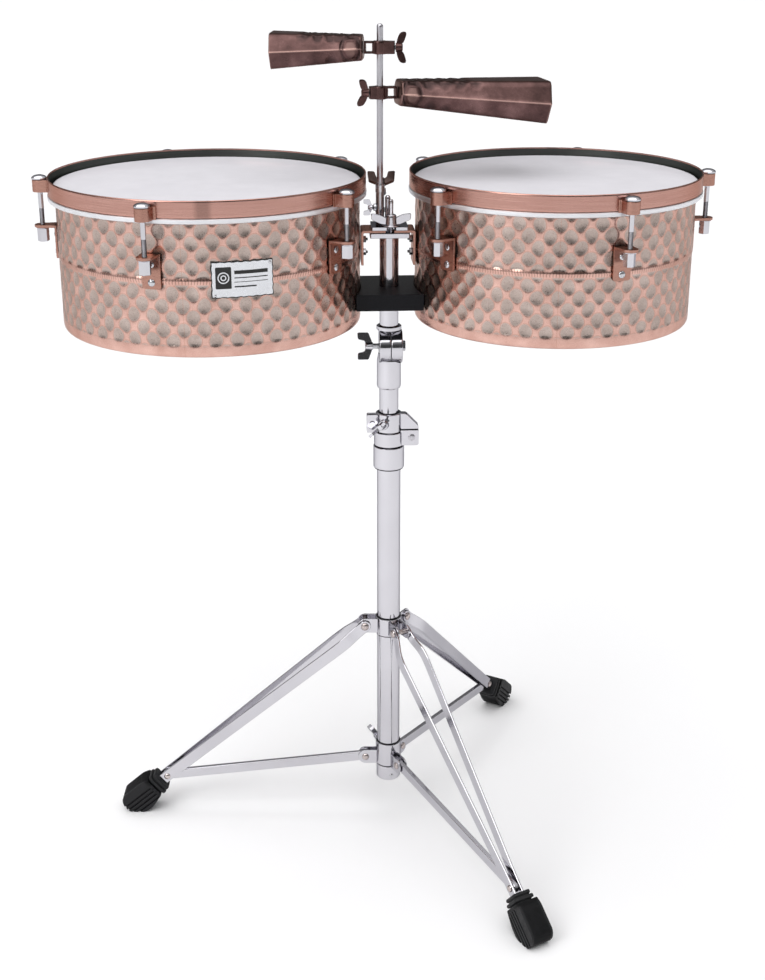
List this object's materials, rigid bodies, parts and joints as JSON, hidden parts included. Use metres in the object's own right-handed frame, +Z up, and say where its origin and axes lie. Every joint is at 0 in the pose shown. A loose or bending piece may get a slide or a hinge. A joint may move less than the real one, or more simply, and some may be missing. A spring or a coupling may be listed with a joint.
{
  "type": "timbales",
  "caption": "Pair of hammered metal drums on a folding, tilting tripod stand, with two cowbells on an adjustable rod.",
  "frame": {"origin": "centre of the whole object's footprint box on the floor", "axes": "+Z up; -Y towards the player's front; +X towards the smaller drum and the large bell"},
  "size_m": [0.8658, 0.6858, 1.108],
  "materials": {
    "chrome_steel": "bright chrome plate",
    "zinc_rod": "dull zinc plate",
    "copper_shell": "copper plate, hammered net of raised lines round worn dimples",
    "copper_hoop": "brushed copper plate",
    "copper_hardware": "satin copper plate",
    "dark_copper": "dark antique copper, hammered",
    "drum_film": "smooth white film with a satin aluminium flesh hoop",
    "black_plastic": "matt black",
    "rubber": "matt black"
  },
  "bodies": {
    "stand": {"base_tube": "chrome_steel", "upper_leg_collar": "chrome_steel", "height_clamp": "chrome_steel"},
    "brace_slider": {"brace_collar": "chrome_steel"},
    "left_brace_arm": {"left_brace": "chrome_steel"},
    "front_brace_arm": {"front_brace": "chrome_steel"},
    "back_brace_arm": {"back_brace": "chrome_steel"},
    "left_leg_arm": {"left_leg": "chrome_steel", "left_foot": "rubber"},
    "front_leg_arm": {"front_leg": "chrome_steel", "front_foot": "rubber"},
    "back_leg_arm": {"back_leg": "chrome_steel", "back_foot": "rubber"},
    "collar_screw": {"collar_wing_screw": "chrome_steel"},
    "clamp_bolt": {"clamp_wing_bolt": "chrome_steel"},
    "mast": {"inner_tube": "chrome_steel", "tilter_base": "chrome_steel"},
    "tilter_bolt": {"tilter_wing_bolt": "chrome_steel"},
    "drum_frame": {"tilter_head": "chrome_steel", "centre_post": "chrome_steel", "spacer_block": "black_plastic", "rod_holder": "chrome_steel", "left_bracket": "copper_hardware", "left_shell": "copper_shell", "left_drumhead": "drum_film", "left_hoop": "copper_hoop", "left_lug_1": "copper_hardware", "left_lug_2": "copper_hardware", "left_lug_3": "copper_hardware", "left_lug_4": "copper_hardware", "left_lug_5": "copper_hardware", "right_bracket": "copper_hardware", "right_shell": "copper_shell", "right_drumhead": "drum_film", "right_hoop": "copper_hoop", "right_lug_1": "copper_hardware", "right_lug_2": "copper_hardware", "right_lug_3": "copper_hardware", "right_lug_4": "copper_hardware", "right_lug_5": "copper_hardware"},
    "plate_nut": {"plate_wing_nut": "chrome_steel"},
    "rod_screw": {"rod_wing_screw": "chrome_steel"},
    "holder_screw": {"holder_wing_screw": "chrome_steel"},
    "bell_post": {"bell_rod": "zinc_rod"},
    "small_bell_arm": {"small_bell": "dark_copper", "small_bell_clamp": "dark_copper"},
    "small_bell_nut": {"small_bell_wing_nut": "dark_copper"},
    "large_bell_arm": {"large_bell": "dark_copper", "large_bell_clamp": "dark_copper"},
    "large_bell_nut": {"large_bell_wing_nut": "dark_copper"},
    "left_tension_1": {"left_rod_1": "chrome_steel"},
    "left_tension_2": {"left_rod_2": "chrome_steel"},
    "left_tension_3": {"left_rod_3": "chrome_steel"},
    "left_tension_4": {"left_rod_4": "chrome_steel"},
    "left_tension_5": {"left_rod_5": "chrome_steel"},
    "right_tension_1": {"right_rod_1": "chrome_steel"},
    "right_tension_2": {"right_rod_2": "chrome_steel"},
    "right_tension_3": {"right_rod_3": "chrome_steel"},
    "right_tension_4": {"right_rod_4": "chrome_steel"},
    "right_tension_5": {"right_rod_5": "chrome_steel"}
  },
  "joints": [
    {"name": "stand_fold", "type": "slide", "parent": "stand", "child": "brace_slider", "axis": [0, 0, 1], "range_m": [0, 0.12465]},
    {"name": "left_brace_fold", "type": "hinge", "parent": "brace_slider", "child": "left_brace_arm", "pos_m": [-0.01806, 0.01113, 0.0865], "axis": [-0.0523, -0.9986, 0], "range_deg": [0, 83.69]},
    {"name": "front_brace_fold", "type": "hinge", "parent": "brace_slider", "child": "front_brace_arm", "pos_m": [0.02988, -0.02, 0.0865], "axis": [0.891, 0.454, 0], "range_deg": [0, 83.69]},
    {"name": "back_brace_fold", "type": "hinge", "parent": "brace_slider", "child": "back_brace_arm", "pos_m": [0.03287, 0.03708, 0.0865], "axis": [-0.8387, 0.5446, 0], "range_deg": [0, 83.69]},
    {"name": "left_leg_fold", "type": "hinge", "parent": "left_brace_arm", "child": "left_leg_arm", "pos_m": [-0.30716, 0.02628, 0.0545], "axis": [-0.0523, -0.9986, 0], "range_deg": [-33.82, 0]},
    {"name": "front_leg_fold", "type": "hinge", "parent": "front_brace_arm", "child": "front_leg_arm", "pos_m": [0.16131, -0.27795, 0.0545], "axis": [0.891, 0.454, 0], "range_deg": [-33.82, 0]},
    {"name": "back_leg_fold", "type": "hinge", "parent": "back_brace_arm", "child": "back_leg_arm", "pos_m": [0.19055, 0.27987, 0.0545], "axis": [-0.8387, 0.5446, 0], "range_deg": [-33.82, 0]},
    {"name": "collar_screw_turn", "type": "hinge", "parent": "brace_slider", "child": "collar_screw", "pos_m": [0.00128, 0.03613, 0.1035], "axis": [-0.454, 0.891, 0], "continuous": true},
    {"name": "clamp_bolt_turn", "type": "hinge", "parent": "stand", "child": "clamp_bolt", "pos_m": [0.00291, -0.0181, 0.5985], "axis": [-0.3998, -0.9166, 0], "continuous": true},
    {"name": "height_slide", "type": "slide", "parent": "stand", "child": "mast", "axis": [0, 0, 1], "range_m": [-0.034, 0.24]},
    {"name": "tilter_bolt_turn", "type": "hinge", "parent": "mast", "child": "tilter_bolt", "pos_m": [-0.0151, 0.0094, 0.702], "axis": [-1, 0, 0], "continuous": true},
    {"name": "drum_tilt", "type": "hinge", "parent": "mast", "child": "drum_frame", "pos_m": [0.0149, 0.0094, 0.702], "axis": [1, 0, 0], "range_deg": [-35, 35]},
    {"name": "plate_nut_turn", "type": "hinge", "parent": "drum_frame", "child": "plate_nut", "pos_m": [0.0166, -0.0036, 0.87], "axis": [0, 0, 1], "continuous": true},
    {"name": "rod_screw_turn", "type": "hinge", "parent": "drum_frame", "child": "rod_screw", "pos_m": [0.007, 0.0362, 0.9063], "axis": [0, 0.7071, 0.7071], "continuous": true},
    {"name": "holder_screw_turn", "type": "hinge", "parent": "drum_frame", "child": "holder_screw", "pos_m": [-0.0101, 0.0254, 0.8815], "axis": [-1, 0, 0], "continuous": true},
    {"name": "bell_post_slide", "type": "slide", "parent": "drum_frame", "child": "bell_post", "axis": [0, 0, 1], "range_m": [0, 0.035]},
    {"name": "small_bell_swivel", "type": "hinge", "parent": "bell_post", "child": "small_bell_arm", "pos_m": [0.0041, 0.0254, 1.0795], "axis": [0, 0, 1], "continuous": true},
    {"name": "small_bell_nut_turn", "type": "hinge", "parent": "small_bell_arm", "child": "small_bell_nut", "pos_m": [0.019, 0.02365, 1.0795], "axis": [0.9932, -0.1167, 0], "continuous": true},
    {"name": "large_bell_swivel", "type": "hinge", "parent": "bell_post", "child": "large_bell_arm", "pos_m": [0.0041, 0.0254, 1.025], "axis": [0, 0, 1], "continuous": true},
    {"name": "large_bell_nut_turn", "type": "hinge", "parent": "large_bell_arm", "child": "large_bell_nut", "pos_m": [-0.01075, 0.02331, 1.025], "axis": [-0.9903, -0.1392, 0], "continuous": true},
    {"name": "left_tension_turn_1", "type": "hinge", "parent": "drum_frame", "child": "left_tension_1", "pos_m": [-0.4231, 0.0094, 0.89], "axis": [0, 0, 1], "continuous": true},
    {"name": "left_tension_turn_2", "type": "hinge", "parent": "drum_frame", "child": "left_tension_2", "pos_m": [-0.27799, -0.19032, 0.89], "axis": [0, 0, 1], "continuous": true},
    {"name": "left_tension_turn_3", "type": "hinge", "parent": "drum_frame", "child": "left_tension_3", "pos_m": [-0.04321, -0.11403, 0.89], "axis": [0, 0, 1], "continuous": true},
    {"name": "left_tension_turn_4", "type": "hinge", "parent": "drum_frame", "child": "left_tension_4", "pos_m": [-0.04321, 0.13284, 0.89], "axis": [0, 0, 1], "continuous": true},
    {"name": "left_tension_turn_5", "type": "hinge", "parent": "drum_frame", "child": "left_tension_5", "pos_m": [-0.27799, 0.20912, 0.89], "axis": [0, 0, 1], "continuous": true},
    {"name": "right_tension_turn_1", "type": "hinge", "parent": "drum_frame", "child": "right_tension_1", "pos_m": [0.4231, 0.0094, 0.89], "axis": [0, 0, 1], "continuous": true},
    {"name": "right_tension_turn_2", "type": "hinge", "parent": "drum_frame", "child": "right_tension_2", "pos_m": [0.28704, 0.19666, 0.89], "axis": [0, 0, 1], "continuous": true},
    {"name": "right_tension_turn_3", "type": "hinge", "parent": "drum_frame", "child": "right_tension_3", "pos_m": [0.06691, 0.12513, 0.89], "axis": [0, 0, 1], "continuous": true},
    {"name": "right_tension_turn_4", "type": "hinge", "parent": "drum_frame", "child": "right_tension_4", "pos_m": [0.06691, -0.10633, 0.89], "axis": [0, 0, 1], "continuous": true},
    {"name": "right_tension_turn_5", "type": "hinge", "parent": "drum_frame", "child": "right_tension_5", "pos_m": [0.28704, -0.17786, 0.89], "axis": [0, 0, 1], "continuous": true}
  ],
  "couplings": [
    {"joint": "left_brace_fold", "follows": "stand_fold", "rad_per_m": 11.718},
    {"joint": "front_brace_fold", "follows": "stand_fold", "rad_per_m": 11.718},
    {"joint": "back_brace_fold", "follows": "stand_fold", "rad_per_m": 11.718},
    {"joint": "left_leg_fold", "follows": "stand_fold", "rad_per_m": -4.735},
    {"joint": "front_leg_fold", "follows": "stand_fold", "rad_per_m": -4.735},
    {"joint": "back_leg_fold", "follows": "stand_fold", "rad_per_m": -4.735}
  ]
}
